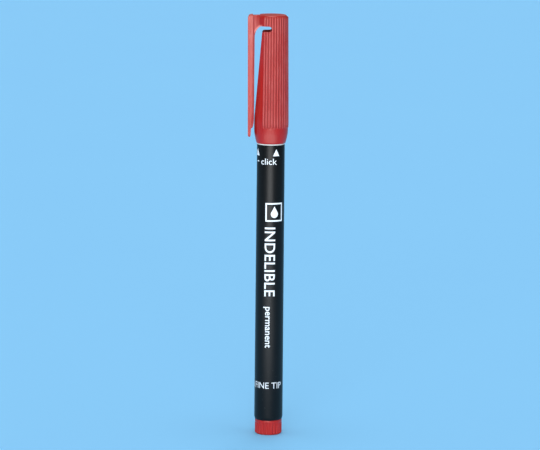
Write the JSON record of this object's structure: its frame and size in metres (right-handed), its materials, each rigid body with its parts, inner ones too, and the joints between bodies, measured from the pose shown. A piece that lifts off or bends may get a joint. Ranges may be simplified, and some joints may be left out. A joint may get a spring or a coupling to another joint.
{
  "type": "fibre-tip marker pen",
  "caption": "Slim capped fibre-tip permanent marker: black barrel, red ribbed pull-off cap with a flexing pocket clip, red fluted end plug.",
  "frame": {"origin": "centre of the end plug's flat foot", "axes": "+Z along the pen to the top of the cap, -X towards the clip"},
  "size_m": [0.0136, 0.0114, 0.139],
  "materials": {
    "cap_red": "moulded polypropylene, satin gloss with fine flow marks",
    "plug_red": "moulded polypropylene, satin gloss",
    "barrel_black": "extruded polypropylene, satin",
    "print_white": "screen-printed ink",
    "section_white": "moulded polypropylene",
    "liner_natural": "soft moulded polyethylene",
    "holder_grey": "moulded acetal",
    "fibre_red": "pressed polyester fibre soaked with red ink",
    "film_clear": "thin clear film"
  },
  "bodies": {
    "pen": {"end_plug": "plug_red", "barrel": "barrel_black", "ink_reservoir": "fibre_red", "reservoir_film": "film_clear", "front_section": "section_white", "nib_holder": "holder_grey", "nib": "fibre_red"},
    "inner_cap": {"inner_cap": "liner_natural"},
    "cap": {"cap_shell": "cap_red"},
    "clip": {"pocket_clip": "cap_red"}
  },
  "joints": [
    {"name": "cap_pull", "type": "slide", "parent": "pen", "child": "inner_cap", "axis": [0, 0, 1], "range_m": [0, 0.05]},
    {"name": "cap_turn", "type": "hinge", "parent": "inner_cap", "child": "cap", "pos_m": [0, 0, 0.118], "axis": [0, 0, 1], "continuous": true},
    {"name": "clip_flex", "type": "hinge", "parent": "cap", "child": "clip", "pos_m": [-0.0048, 0, 0.1372], "axis": [0, 1, 0], "range_deg": [0, 4], "stiffness_Nm_per_rad": 2}
  ]
}
